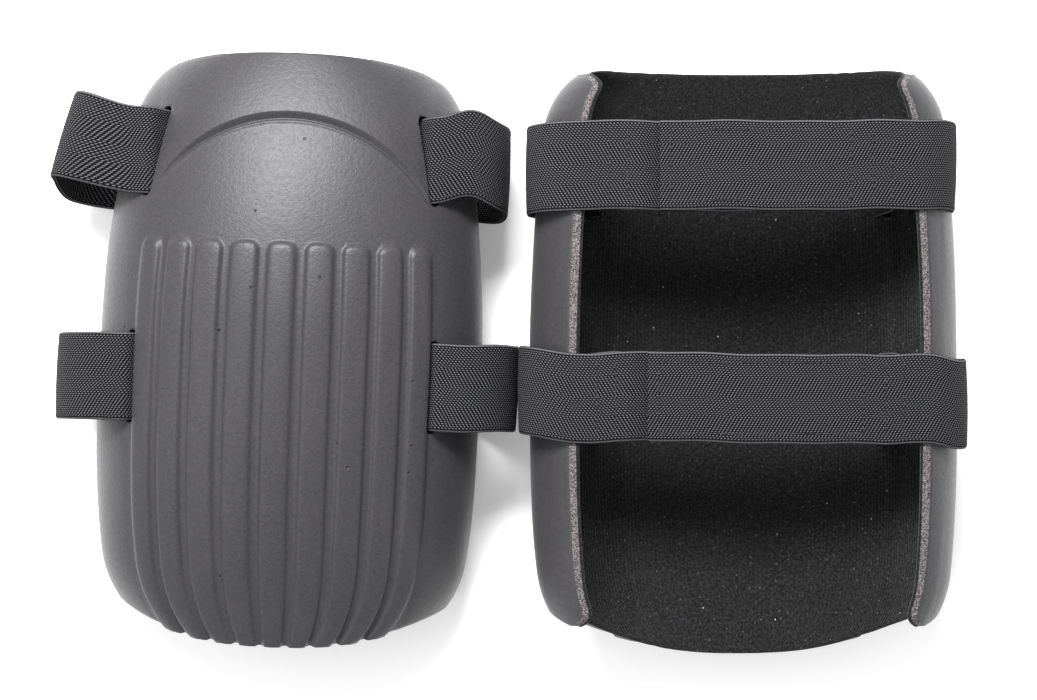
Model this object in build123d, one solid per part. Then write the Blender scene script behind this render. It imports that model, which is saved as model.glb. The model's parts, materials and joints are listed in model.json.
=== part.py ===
from build123d import *
import math
import os

# A pair of foam knee pads, millimetres. +X across both pads, +Y towards the top ends, +Z up.
# The left pad lies on its straps with its dome up, the right pad lies on its dome with its cavity up.

# one pad, in its own frame: rim plane at z = 0, dome towards +Z, top end towards +Y
padLength = 239.0
padWidth = {"left": 157.0, "right": 171.5}   # the soft wings of the right pad stand wider apart
domeHeight = 72.0
bulgeShare = 0.363          # height of the widest part above the rim plane, as a share of the dome's
topNarrowing = {"left": 16.0, "right": 9.0}  # half width lost at the top end
bottomNarrowing = 12.0      # half width lost at the bottom end
topDrop = 24.0              # how far the dome falls towards the top end
bottomDrop = 21.0
topCornerRadius = {"left": 28.0, "right": 18.0}
bottomCornerRadius = 40.0
topBowRadius = {"left": 270.0, "right": 1400.0}   # the ends bow out in the middle
bottomBowRadius = 158.0
frontWall = 10.0            # foam thickness at the front of the knee
sideWall = 5.5              # foam thickness in the wings
innerDrop = 4.0             # the hollow is widest this much nearer the rim than the outside is
liningThickness = 1.0

# moulded relief on the dome
ribCount = 9
ribPitch = 11.0             # degrees of the section's ellipse from rib to rib
ribFace = 8.0               # degrees that one rib takes
ribHeight = 1.5
ribTopY = 42.0
brimHeight = 2.0
brimRadius = 65.0
brimTopY = 93.0

# straps: an anchored loop and a hook flap on one side, a loop half on the other
levelY = {"upper": 78.0, "lower": -12.7}
elasticWidth = 35.0
elasticThickness = 1.6
slotAngle = 40.0            # place of the slots on the section's ellipse, degrees above the bulge
slotThickness = 5.0
slotSpare = 2.0             # slot longer than the elastic is wide
standOff = {"left": 13.5, "right": 4.0}      # how far a strap stands out from the wing
hookSide = -1               # the anchored loop and its flap are on this side, the loop half opposite
slotBend = 3.0              # bend radius at a slot
fit = 0.3                   # clearance between neighbours that move apart
plyGap = 0.1                # between the two plies of an elastic that is sewn back on itself
flapTipShare = 0.55         # a flap's tip reaches this share of the loop half's ramp
loopEndGap = 4.0            # from the end of the loop half to the sewn overlap of the other side
rampInset = 3.0             # from the sewn overlap to the ramp
rampLength = 13.0
sewnInset = 3.0             # from the rim's inner edge to the sewn overlap
sewnLength = 12.0
hingeGap = 0.5
tapeThickness = 1.8
tapeEdge = 2.0              # from an elastic's edge to its tape
tapeMargin = 2.5            # from a strap's end to its tape
threadWidth = 0.8
threadDepth = 0.4
threadInset = 1.2           # from a tape's edge to its row of stitches

# how the two pads lie
padSpacing = 184.0          # distance between the two pads' middles
padShift = -6.0             # the right pad lies a little lower
leftTurn = -2.3             # degrees about Z

tapeWidth = elasticWidth - tapeEdge * 2

overshoot = 14.0            # how far the lofts run past the pad's ends
loftSteps = 8
stackTop = tapeThickness * 2 + fit    # closed tapes, from the rim plane's straps inwards
strapZ = -fit - elasticThickness / 2  # middle of a strap that passes under the rim
loopZ = strapZ + elasticThickness + stackTop


def endShare(y, end):
    """Zero in the middle of the pad, one at the named end."""
    half = padLength / 2
    return max(y / half if end == "top" else -y / half, 0.0)


def halfWidthAt(side, y):
    narrowing = topNarrowing[side] * endShare(y, "top") ** 2 + bottomNarrowing * endShare(y, "bottom") ** 4
    return padWidth[side] / 2 - narrowing


def topAt(y):
    return domeHeight - topDrop * endShare(y, "top") ** 2.2 - bottomDrop * endShare(y, "bottom") ** 2.4


def bulgeAt(y):
    """Height of the widest part of the outside."""
    return bulgeShare * topAt(y)


def ellipseLoft(side, wallSide, wallTop, drop):
    """Body of ellipses across the pad, smaller than the outside by a wall at the sides and at the top."""
    reach = padLength / 2 + overshoot
    faces = []
    for i in range(loftSteps + 1):
        y = -reach + 2 * reach * i / loftSteps
        centre = bulgeAt(y) - drop
        section = Ellipse(halfWidthAt(side, y) - wallSide, topAt(y) - wallTop - centre)
        faces.append(Plane(origin=(0, y, centre), x_dir=(1, 0, 0), z_dir=(0, -1, 0)) * section)
    return loft(faces)


def planPrism(side):
    """Outline from above: rounded corners, and both ends bowed out in the middle."""
    half = padLength / 2
    outline = Rectangle(padWidth[side] + 2, padLength)
    byY = outline.vertices().sort_by(Axis.Y)
    outline = fillet(byY[:2], bottomCornerRadius)
    byY = outline.vertices().sort_by(Axis.Y)
    outline = fillet(byY[-2:], topCornerRadius[side])
    outline = outline & (Pos(0, half - topBowRadius[side]) * Circle(topBowRadius[side]))
    outline = outline & (Pos(0, bottomBowRadius - half) * Circle(bottomBowRadius))
    return extrude(outline, domeHeight * 2)


def reliefPrisms(side):
    """Columns that cut the ribs and the brim out of a grown dome."""
    prisms = []
    ribLength = ribTopY + padLength / 2 + overshoot
    for i in range(ribCount):
        middle = ribPitch * (i - (ribCount - 1) / 2)
        low = padWidth[side] / 2 * math.sin(math.radians(middle - ribFace / 2))
        high = padWidth[side] / 2 * math.sin(math.radians(middle + ribFace / 2))
        rib = Rectangle(high - low, ribLength)
        rib = fillet(rib.vertices().sort_by(Axis.Y)[-2:], (high - low) * 0.45)
        prisms.append(Pos((low + high) / 2, ribTopY - ribLength / 2) * extrude(rib, domeHeight * 2))
    return prisms


def brimPrism(side):
    band = Pos(0, brimTopY) * Rectangle(padWidth[side], padLength, align=(Align.CENTER, Align.MIN))
    band = band + Pos(0, brimTopY) * Rectangle(padWidth[side], brimRadius / 2, align=(Align.CENTER, Align.MAX))
    return extrude(band - Pos(0, brimTopY - brimRadius) * Circle(brimRadius), domeHeight * 2)


def outerPoint(side, y, inset=0.0):
    """A point on the outside's section at the slots, and the direction straight out of the foam."""
    a = halfWidthAt(side, y)
    b = topAt(y) - bulgeAt(y)
    angle = math.radians(slotAngle)
    out = Vector(math.cos(angle) / a, 0, math.sin(angle) / b).normalized()
    return Vector(a * math.cos(angle), 0, bulgeAt(y) + b * math.sin(angle)) - out * inset, out


def slotCut(side, y, hand):
    """A slot straight through foam and lining."""
    point, out = outerPoint(side, y)
    middle = Vector(hand * point.X, y, point.Z)
    plane = Plane(origin=middle, x_dir=(0, 1, 0), z_dir=(hand * out.X, 0, out.Z))
    return plane * Box(elasticWidth + slotSpare, slotThickness, frontWall * 4)


def foamShell(side):
    outside = ellipseLoft(side, 0, 0, 0)
    ribbed = ellipseLoft(side, 0, -ribHeight, 0)
    brimmed = ellipseLoft(side, brimHeight, -brimHeight, 0)
    shell = outside
    for prism in reliefPrisms(side):
        shell = shell + (ribbed & prism)
    shell = shell + (brimmed & brimPrism(side))
    shell = (shell & planPrism(side)) - hollow(side, 0)
    for y in levelY.values():
        for hand in (-1, 1):
            shell = shell - slotCut(side, y, hand)
    return shell


def hollow(side, skin):
    """The space inside the foam, less a skin."""
    return ellipseLoft(side, sideWall + skin, frontWall + skin, innerDrop)


def lining(side):
    skin = (hollow(side, 0) - hollow(side, liningThickness)) & planPrism(side)
    for y in levelY.values():
        for hand in (-1, 1):
            skin = skin - slotCut(side, y, hand)
    return skin


def rimHalfGap(side, y, wallSide, wallTop, drop):
    """Half the distance across a section at the rim plane, at a strap's narrower edge."""
    edge = y + math.copysign(elasticWidth / 2, y)
    a = halfWidthAt(side, edge) - wallSide
    centre = bulgeAt(edge) - drop
    b = topAt(edge) - wallTop - centre
    return a * math.sqrt(1 - (centre / b) ** 2)


def rimInner(side, y):
    return rimHalfGap(side, y, sideWall + liningThickness, frontWall + liningThickness, innerDrop)


def overlapX(side, y):
    """Where the sewn overlap of an elastic ends inside the rim."""
    return rimInner(side, y) - sewnInset - sewnLength


def hingeX(side, y):
    return overlapX(side, y) - elasticThickness - hingeGap


def rampX(side, y):
    """Where the loop half leaves the rim plane to pass over the closed tapes."""
    return overlapX(side, y) - rampInset


def flapTipX(side, y):
    """The tip is past the pad's middle, over the ramp of the loop half."""
    return -(rampX(side, y) - rampLength * flapTipShare)


def loopEndX(side, y):
    """The loop half ends just short of the other side's sewn overlap, measured from the middle of the pad."""
    return -(overlapX(side, y) - loopEndGap)


def ribbon(points, radii, y, hand):
    """An elastic along rounded corners across the pad, on one side of it."""
    path = FilletPolyline(*[(hand * x, y, z) for x, z in points], radius=radii)
    start = Plane(origin=path @ 0, x_dir=(0, 1, 0), z_dir=path % 0)
    return sweep(start * Rectangle(elasticWidth, elasticThickness), path)


def aroundWeb(side, y):
    """From the sewn overlap inside, up to the slot, out through it and down past the rim."""
    rim = rimInner(side, y)
    rimOuter = rimHalfGap(side, y, 0, 0, 0)
    outer = outerPoint(side, y, -slotBend)[0]
    inner = outerPoint(side, y, frontWall + slotBend)[0]
    reach = halfWidthAt(side, y) + standOff[side]
    sewnZ = strapZ + elasticThickness + plyGap
    lowerBend = (reach - rimOuter) * 0.95
    upperBend = min(reach - outer.X, outer.Z - strapZ - lowerBend) * 0.8
    points = [(overlapX(side, y), sewnZ), (rim - sewnInset, sewnZ), (rim - sewnInset, bulgeAt(y)),
              (inner.X, inner.Z), (outer.X, outer.Z), (reach, outer.Z - slotBend), (reach, strapZ)]
    return points, [slotBend, slotBend * 4, slotBend, slotBend, upperBend, lowerBend]


def sewnRows(side, y):
    """Where the rows of stitches cross the sewn overlap."""
    overlap = overlapX(side, y)
    return [overlap + threadInset * 2, overlap + sewnLength - threadInset * 2]


def threadRow(x, y):
    """One row of stitches across a strap, let into the outside of the elastic."""
    outside = strapZ - elasticThickness / 2
    return Pos(x, y, outside + threadDepth / 2) * Box(threadWidth, tapeWidth - threadInset * 2, threadDepth)


def threadFrame(ends, y, bottom):
    """Four rows of stitches round a tape, let into the face of the elastic."""
    length = abs(ends[1] - ends[0]) - threadInset * 2
    ring = Rectangle(length, tapeWidth - threadInset * 2)
    ring = ring - Rectangle(length - threadWidth * 2, tapeWidth - (threadInset + threadWidth) * 2)
    return Pos(sum(ends) / 2, y, bottom) * extrude(ring, threadDepth)


def tape(ends, y, z):
    return Pos(sum(ends) / 2, y, z) * Box(abs(ends[1] - ends[0]), tapeWidth, tapeThickness)


def anchorElastic(side, y):
    points, radii = aroundWeb(side, y)
    points.append((overlapX(side, y) - elasticThickness / 2, strapZ))
    loop = ribbon(points, radii, y, hookSide)
    for x in sewnRows(side, y):
        loop = loop - threadRow(hookSide * x, y)
    return loop


def flapElastic(side, y, ends):
    hinge = hookSide * hingeX(side, y)
    tip = hookSide * flapTipX(side, y)
    flat = Pos((hinge + tip) / 2, y, strapZ) * Box(abs(hinge - tip), elasticWidth, elasticThickness)
    root = Pos(hinge, y, strapZ) * Rot(90, 0, 0) * Cylinder(elasticThickness / 2, elasticWidth)
    return flat + root - threadFrame(ends, y, strapZ - elasticThickness / 2)


def loopElastic(side, y, ends):
    points, radii = aroundWeb(side, y)
    ramp = rampX(side, y)
    points = points + [(ramp, strapZ), (ramp - rampLength, loopZ), (loopEndX(side, y), loopZ)]
    loop = ribbon(points, radii + [rampLength * 0.8, rampLength * 0.8], y, -hookSide)
    for x in sewnRows(side, y):
        loop = loop - threadRow(-hookSide * x, y)
    return loop - threadFrame(ends, y, loopZ + elasticThickness / 2 - threadDepth)


def strapParts(side, level):
    """The pieces of one strap, closed."""
    y = levelY[level]
    rows = sewnRows(side, y)
    hookEnds = (hookSide * (hingeX(side, y) - tapeMargin), hookSide * (flapTipX(side, y) + tapeMargin))
    rampEnd = rampX(side, y) - rampLength
    loopEnds = (-hookSide * (rampEnd - tapeMargin), -hookSide * (loopEndX(side, y) + tapeMargin))
    layer = (elasticThickness + tapeThickness) / 2
    parts = {
        "anchor_elastic": anchorElastic(side, y),
        "anchor_stitching": Compound([threadRow(hookSide * x, y) for x in rows]),
        "flap_elastic": flapElastic(side, y, hookEnds),
        "hook_tape": tape(hookEnds, y, strapZ + layer),
        "hook_stitching": threadFrame(hookEnds, y, strapZ - elasticThickness / 2),
        "loop_elastic": loopElastic(side, y, loopEnds),
        "loop_anchor_stitching": Compound([threadRow(-hookSide * x, y) for x in rows]),
        "loop_tape": tape(loopEnds, y, loopZ - layer),
        "loop_stitching": threadFrame(loopEnds, y, loopZ + elasticThickness / 2 - threadDepth),
    }
    return {level + "_" + name: part for name, part in parts.items()}


def padParts(side):
    lowerHalf = Pos(0, 0, -domeHeight) * Box(padWidth[side] * 2, padLength * 2, domeHeight * 2)
    parts = {"foam_shell": foamShell(side) - lowerHalf, "lining": lining(side) - lowerHalf}
    for level in levelY:
        parts.update(strapParts(side, level))
    return parts


def lowest(parts):
    return min(part.bounding_box().min.Z for part in parts.values())


def place(parts, side, location):
    """Turn a pad's parts, lay them on z = 0 and put them beside the other pad."""
    turned = {side + "_" + name: location * part for name, part in parts.items()}
    drop = lowest(turned)
    return {name: Pos(0, 0, -drop) * part for name, part in turned.items()}


def pair():
    places = {"left": Pos(-padSpacing / 2, 0, 0) * Rot(0, 0, leftTurn),
              "right": Pos(padSpacing / 2, padShift, 0) * Rot(0, 180, 0)}
    left, right = (place(padParts(side), side, places[side])
                   for side in ("left", "right"))
    return {**left, **right}


def centred(parts):
    """Move the pair so that the middle of the rectangle it covers is the origin."""
    boxes = [part.bounding_box() for part in parts.values()]
    x = (min(box.min.X for box in boxes) + max(box.max.X for box in boxes)) / 2
    y = (min(box.min.Y for box in boxes) + max(box.max.Y for box in boxes)) / 2
    print("pads' middles at", -padSpacing / 2 - x, -y, "and", padSpacing / 2 - x, padShift - y)
    return {name: Pos(-x, -y, 0) * part for name, part in parts.items()}


def printHinges():
    """Each flap's hinge and tip in its own pad's frame."""
    for side in padWidth:
        for level, y in levelY.items():
            print(side, level, "hinge", hookSide * hingeX(side, y), y, strapZ, "tip", flapTipX(side, y))


os.makedirs("parts", exist_ok=True)
for name, part in centred(pair()).items():
    export_step(part, "parts/" + name + ".step")
printHinges()
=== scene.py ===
import json
import math

import bmesh
import bpy
import numpy as np
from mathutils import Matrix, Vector


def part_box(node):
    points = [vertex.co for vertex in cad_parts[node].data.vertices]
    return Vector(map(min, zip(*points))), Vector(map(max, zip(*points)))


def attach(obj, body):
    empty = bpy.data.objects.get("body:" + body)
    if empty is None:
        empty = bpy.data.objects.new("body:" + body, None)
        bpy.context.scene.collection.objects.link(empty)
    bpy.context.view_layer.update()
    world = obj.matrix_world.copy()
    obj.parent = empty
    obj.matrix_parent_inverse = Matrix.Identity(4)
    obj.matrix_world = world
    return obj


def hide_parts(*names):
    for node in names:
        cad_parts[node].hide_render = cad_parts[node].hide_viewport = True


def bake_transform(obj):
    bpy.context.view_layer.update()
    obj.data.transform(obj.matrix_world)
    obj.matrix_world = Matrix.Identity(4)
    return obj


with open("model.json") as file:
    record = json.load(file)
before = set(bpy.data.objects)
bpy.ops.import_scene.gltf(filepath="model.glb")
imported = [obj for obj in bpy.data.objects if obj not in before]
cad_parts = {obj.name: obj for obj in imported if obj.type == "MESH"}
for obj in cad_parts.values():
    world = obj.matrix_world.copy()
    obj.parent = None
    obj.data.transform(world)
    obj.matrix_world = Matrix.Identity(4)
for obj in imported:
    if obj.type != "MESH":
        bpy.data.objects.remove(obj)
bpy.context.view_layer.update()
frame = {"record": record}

# the pads' own measures, millimetres and degrees, as the CAD model has them; wingTrim, wingCorner, wingTurn,
# tuckDepth and tuckLength shape the ends of the wings, each a pair for the top and the bottom end
pad = {
    "length": 239.0, "width": {"left": 157.0, "right": 171.5}, "domeHeight": 72.0, "bulgeShare": 0.363,
    "topNarrowing": {"left": 16.0, "right": 9.0}, "bottomNarrowing": 12.0, "topDrop": 24.0, "bottomDrop": 21.0,
    "topCorner": {"left": 28.0, "right": 18.0}, "bottomCorner": 40.0,
    "topBow": {"left": 270.0, "right": 1400.0}, "bottomBow": 158.0,
    "frontWall": 10.0, "sideWall": 5.5, "innerDrop": 4.0, "lining": 1.0,
    "wingTrim": (4.0, 0.0), "wingCorner": (6.0, 8.0), "wingTurn": (90.0, 112.0),
    "tuckDepth": {"left": (17.0, 22.0), "right": (22.0, 24.0)},
    "tuckLength": {"left": (27.0, 34.0), "right": (26.0, 36.0)},
}
relief = {
    "ribs": 9, "ribPitch": 11.0, "ribFace": 8.0, "ribHeight": 1.5, "ribTopY": 42.0, "ribCorner": 3.4,
    "brimHeight": 2.0, "brimRadius": 65.0, "brimTopY": 93.0, "brimEndX": 56.0,
    "ribCrown": 0.22, "brimRoot": 0.32, "brimHollow": 0.22, "mouldLineAngle": 51.5, "mouldLine": 0.3, "uneven": 0.35,
}
strap = {
    "levelY": {"upper": 78.0, "lower": -12.7}, "width": 35.0, "thickness": 1.6,
    "slotAngle": 40.0, "slotThickness": 5.0, "slotSpare": 2.0, "standOff": {"left": 13.5, "right": 4.0},
    "slotBend": 3.0, "hookSide": -1, "fit": 0.3, "plyGap": 0.1, "sewnInset": 3.0, "sewnLength": 12.0,
    "hingeGap": 0.5, "rampInset": 3.0, "rampLength": 13.0, "loopEndGap": 4.0, "flapTipShare": 0.55,
    "tapeThickness": 1.8, "tapeWidth": 31.0, "tapeMargin": 2.5,
}
strapZ = -strap["fit"] - strap["thickness"] / 2
loopZ = strapZ + strap["thickness"] + strap["tapeThickness"] * 2 + strap["fit"]
mm = 0.001


def smoothStep(low, high, value):
    # 0 before low, 1 after high, a cubic ease between
    t = np.clip((value - low) / (high - low), 0.0, 1.0)
    return t * t * (3 - 2 * t)


def halfWidthAt(side, y):
    # half the width, less a square or a fourth power of the way to the end, less the tuck of the corners
    half = pad["length"] / 2
    up = np.maximum(y / half, 0)
    down = np.maximum(-y / half, 0)
    width = pad["width"][side] / 2 - pad["topNarrowing"][side] * up ** 2 - pad["bottomNarrowing"] * down ** 4
    for i, end in enumerate((1, -1)):
        # the corners: towards an end both wings draw in along a quarter of an ellipse
        length = pad["tuckLength"][side][i]
        past = np.clip((end * y - half + length) / length, 0, 1)
        width = width - pad["tuckDepth"][side][i] * (1 - np.sqrt(1 - past ** 2))
    return width


def topAt(y):
    # the crown's height: the dome, less a power of the way to each end
    half = pad["length"] / 2
    up = np.maximum(y / half, 0)
    down = np.maximum(-y / half, 0)
    return pad["domeHeight"] - pad["topDrop"] * up ** 2.2 - pad["bottomDrop"] * down ** 2.4


def bulgeAt(y):
    # the height at which a section is widest, a share of its crown
    return pad["bulgeShare"] * topAt(y)


def outlineY(side, x, end):
    # plan outline: the lower of a bow's circle and a corner's circle, eased together by a soft minimum
    half = pad["length"] / 2
    reach = pad["width"][side] / 2 + 1
    corner = pad["topCorner"][side] if end > 0 else pad["bottomCorner"]
    past = np.clip(np.abs(x) - (reach - corner), 0, corner)
    straight = half - corner + np.sqrt(corner ** 2 - past ** 2)
    bow = pad["topBow"][side] if end > 0 else pad["bottomBow"]
    bowed = half - bow + np.sqrt(bow ** 2 - x ** 2)
    soft = 1.5
    return end * (-soft * np.log(np.exp(-straight / soft) + np.exp(-bowed / soft)))


def rimAngle(y, wallTop, drop):
    # the angle from the crown at which a section's ellipse meets the rim plane: c + b cos t = 0
    centre = bulgeAt(y) - drop
    return np.pi - np.arccos(centre / (topAt(y) - wallTop - centre))


# where each pad lies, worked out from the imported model
jointByName = {joint["name"]: joint for joint in frame["record"]["behaviour"]["joints"]}


def rimHalfGap(side, y, wallSide, wallTop, drop):
    # half the gap between the rims beside a strap: x = a sqrt(1 - (c / b)^2), at the strap's edge nearer the end
    edge = y + math.copysign(strap["width"] / 2, y)
    centre = bulgeAt(edge) - drop
    b = topAt(edge) - wallTop - centre
    return (halfWidthAt(side, edge) - wallSide) * math.sqrt(1 - (centre / b) ** 2)


def rimInner(side, y):
    return rimHalfGap(side, y, pad["sideWall"] + pad["lining"], pad["frontWall"] + pad["lining"], pad["innerDrop"])


def overlapX(side, y):
    return rimInner(side, y) - strap["sewnInset"] - strap["sewnLength"]


def hingeX(side, y):
    return overlapX(side, y) - strap["thickness"] - strap["hingeGap"]


def rampX(side, y):
    return overlapX(side, y) - strap["rampInset"]


def flapTipX(side, y):
    return -(rampX(side, y) - strap["rampLength"] * strap["flapTipShare"])


def loopEndX(side, y):
    return -(overlapX(side, y) - strap["loopEndGap"])


def findPlace(side):
    # a pad's middle, turn and rim height, worked back from where the model has its lower hinge
    joint = jointByName[side + "_lower_flap_peel"]
    y = strap["levelY"]["lower"]
    low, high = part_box(side + "_foam_shell")
    turn = math.atan2(-joint["axis"][0], joint["axis"][1])
    flip = -1 if side == "right" else 1
    x = flip * strap["hookSide"] * hingeX(side, y) * mm
    y = y * mm
    middle = (joint["pos_m"][0] - x * math.cos(turn) + y * math.sin(turn),
              joint["pos_m"][1] - x * math.sin(turn) - y * math.cos(turn))
    return {"turn": turn, "flip": flip, "middle": middle, "rim": high[2] if side == "right" else low[2]}


places = {side: findPlace(side) for side in ("left", "right")}


def toFrame(side, points):
    # pad millimetres to the shared frame in metres: half a turn about Y for the right pad, a small turn about Z
    place = places[side]
    p = np.asarray(points, dtype=float).reshape(-1, 3) * mm
    p = p * (place["flip"], 1, place["flip"])
    c, s = math.cos(place["turn"]), math.sin(place["turn"])
    x = p[:, 0] * c - p[:, 1] * s + place["middle"][0]
    y = p[:, 0] * s + p[:, 1] * c + place["middle"][1]
    return np.stack([x, y, p[:, 2] + place["rim"]], axis=1)


def buildMesh(name, points, faces, uvs=None, smooth=True):
    # uvs hold one pair for each vertex
    mesh = bpy.data.meshes.new(name)
    mesh.from_pydata(np.asarray(points).tolist(), [], faces.tolist() if isinstance(faces, np.ndarray) else faces)
    mesh.polygons.foreach_set("use_smooth", np.full(len(mesh.polygons), smooth))
    if uvs is not None:
        corners = np.empty(len(mesh.loops), dtype=np.int32)
        mesh.loops.foreach_get("vertex_index", corners)
        layer = mesh.uv_layers.new(name="UVMap")
        layer.data.foreach_set("uv", np.asarray(uvs, dtype=np.float32)[corners].ravel())
    mesh.update()
    piece = bpy.data.objects.new(name, mesh)
    bpy.context.scene.collection.objects.link(piece)
    return piece


def gridFaces(rows, columns, first=0, wrap=False):
    # quads between neighbouring rows and columns; wrap joins the last column to the first
    index = first + np.arange(rows * columns).reshape(rows, columns)
    if wrap:
        index = np.concatenate([index, index[:, :1]], axis=1)
    return np.stack([index[:-1, :-1], index[:-1, 1:], index[1:, 1:], index[1:, :-1]], axis=-1).reshape(-1, 4)


def faceOutwards(piece):
    work = bmesh.new()
    work.from_mesh(piece.data)
    bmesh.ops.recalc_face_normals(work, faces=work.faces)
    work.to_mesh(piece.data)
    work.free()


def finished(piece):
    # apply what modifiers the piece has
    depsgraph = bpy.context.evaluated_depsgraph_get()
    mesh = bpy.data.meshes.new_from_object(piece.evaluated_get(depsgraph))
    piece.modifiers.clear()
    piece.data = mesh
    return piece


def spread(low, high, count, peaks, width, gain):
    # count values from low to high, crowded round the peaks
    fine = np.linspace(low, high, 4000)
    density = 1 + gain * sum(np.exp(-((fine - peak) / width) ** 2) for peak in peaks)
    total = np.concatenate([[0], np.cumsum((density[1:] + density[:-1]) / 2)])
    return np.interp(np.linspace(0, total[-1], count), total, fine)


# the foam shell
shellGrid = {"columns": 226, "rows": 196, "edgeRound": 0.9, "slotLean": 0.09, "barIn": 22.0, "barOut": 14.0}


def columnShares():
    # from rim to rim, crowded at the sides of the ribs
    rim = math.degrees(rimAngle(0.0, 0, 0))
    edges = [relief["ribPitch"] * (i - (relief["ribs"] - 1) / 2) + end * relief["ribFace"] / 2
             for i in range(relief["ribs"]) for end in (-1, 1)]
    return spread(-rim, rim, shellGrid["columns"], edges, 1.0, 2.2) / rim


def rowY(side, share, count):
    # rows run from the bottom outline to the top outline, with one row along the edge of the brim: y goes evenly
    # from the outline to the brim's arc and on to the other outline, each outline trimmed towards the rim
    half = pad["length"] / 2
    yTop = np.full_like(share, half)
    yBottom = np.full_like(share, -half)
    for _ in range(12):
        for end, y, most in ((1, yTop, pad["wingTurn"][0]), (-1, yBottom, pad["wingTurn"][1])):
            turn = np.minimum(np.abs(share) * rimAngle(y, 0, 0), math.radians(most))
            y[:] = outlineY(side, halfWidthAt(side, y) * np.sin(turn), end)
    trim = smoothStep(0.5, 1.0, np.abs(share))
    # the last fifth of a wing rounds off along a quarter of an ellipse
    corner = 1 - np.sqrt(1 - np.clip((np.abs(share) - 0.82) / 0.18, 0, 1) ** 2)
    yTop -= pad["wingTrim"][0] * trim + pad["wingCorner"][0] * corner
    yBottom += pad["wingTrim"][1] * trim + pad["wingCorner"][1] * corner
    x = np.clip(np.abs((pad["width"][side] / 2 - 4) * np.sin(share * rimAngle(80.0, 0, 0))), 0, relief["brimEndX"])
    arc = relief["brimTopY"] - relief["brimRadius"] + np.sqrt(relief["brimRadius"] ** 2 - x ** 2)
    brimShare = 0.84
    v = spread(0, 1, count, [brimShare, 0.655], 0.014, 5.0)[:, None]
    lower = yBottom + (arc - yBottom) * v / brimShare
    upper = arc + (yTop - arc) * (v - brimShare) / (1 - brimShare)
    return np.where(v < brimShare, lower, upper)


def sectionGrid(side, share, count, wallSide, wallTop, drop):
    # x = a sin t, z = c + b cos t, with a, b and c from the row's y
    y = rowY(side, share, count)
    angle = share * rimAngle(y, wallTop, drop)
    centre = bulgeAt(y) - drop
    x = (halfWidthAt(side, y) - wallSide) * np.sin(angle)
    z = centre + (topAt(y) - wallTop - centre) * np.cos(angle)
    return np.stack([x, y, z], axis=-1), np.degrees(angle)


def normalsOf(grid):
    # the cross product of a grid's two directions, made one long
    along = np.gradient(grid, axis=1)
    up = np.gradient(grid, axis=0)
    normal = np.cross(along, up)
    return normal / np.linalg.norm(normal, axis=-1, keepdims=True)


def reliefHeight(side, grid, degrees):
    # ribs are rounded boxes pressed out of the dome; the brim is a step along an arc that fades out at both ends
    x, y = grid[..., 0], grid[..., 1]
    perDegree = math.radians(1) * halfWidthAt(side, y) * 0.96
    nearest = np.clip(np.round(degrees / relief["ribPitch"]), -(relief["ribs"] // 2), relief["ribs"] // 2)
    across = np.abs(degrees - nearest * relief["ribPitch"]) * perDegree
    halfFace = relief["ribFace"] / 2 * perDegree
    corner = relief["ribCorner"]
    qx = across - (halfFace - corner)
    qy = y - (relief["ribTopY"] - corner)
    distance = np.hypot(np.maximum(qx, 0), np.maximum(qy, 0)) + np.minimum(np.maximum(qx, qy), 0) - corner
    height = relief["ribHeight"] * smoothStep(0.75, -0.85, distance)
    height += relief["ribCrown"] * np.clip(1 - (across / halfFace) ** 2, 0, 1) * smoothStep(0, -3, distance)
    radial = np.hypot(x, y - (relief["brimTopY"] - relief["brimRadius"])) - relief["brimRadius"]
    fade = np.clip(1 - (np.abs(x) / relief["brimEndX"]) ** 4.5, 0, 1)
    ledge = 0.35 + 1.0 * fade
    above = y > relief["brimTopY"] - relief["brimRadius"]
    height += np.where(above, fade * relief["brimHeight"] * smoothStep(-ledge, ledge, radial), 0)
    rootFade = np.clip(1 - (np.abs(x) / (relief["brimEndX"] + 2)) ** 8, 0, 1)
    height += np.where(above, relief["brimRoot"] * rootFade * np.exp(-((radial + ledge + 1.0) / 0.6) ** 2), 0)
    height -= np.where(above, relief["brimHollow"] * rootFade * np.exp(-((radial + ledge - 0.2) / 0.5) ** 2), 0)
    # a faint mould line down each side of the ribbed field
    line = (np.abs(degrees) - relief["mouldLineAngle"]) * perDegree
    height -= relief["mouldLine"] * np.exp(-(line / 0.7) ** 2) * smoothStep(46, 34, y)
    # the soft moulding isn't quite even
    height += relief["uneven"] * (np.sin(x / 19 + y / 31 + 1.3) * np.sin(y / 23 - x / 37) * 0.6
                                  + np.sin(x / 9.5 - y / 41) * np.sin(y / 13 + 0.7) * 0.25)
    return height


def slotPlace(side, level, hand):
    # the middle of a slot and the direction straight out of the foam there
    y = strap["levelY"][level]
    a = halfWidthAt(side, y)
    b = topAt(y) - bulgeAt(y)
    t = math.radians(strap["slotAngle"])
    out = np.array([hand * math.cos(t) / a, 0, math.sin(t) / b])
    return np.array([hand * a * math.cos(t), y, bulgeAt(y) + b * math.sin(t)]), out / np.linalg.norm(out)


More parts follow.
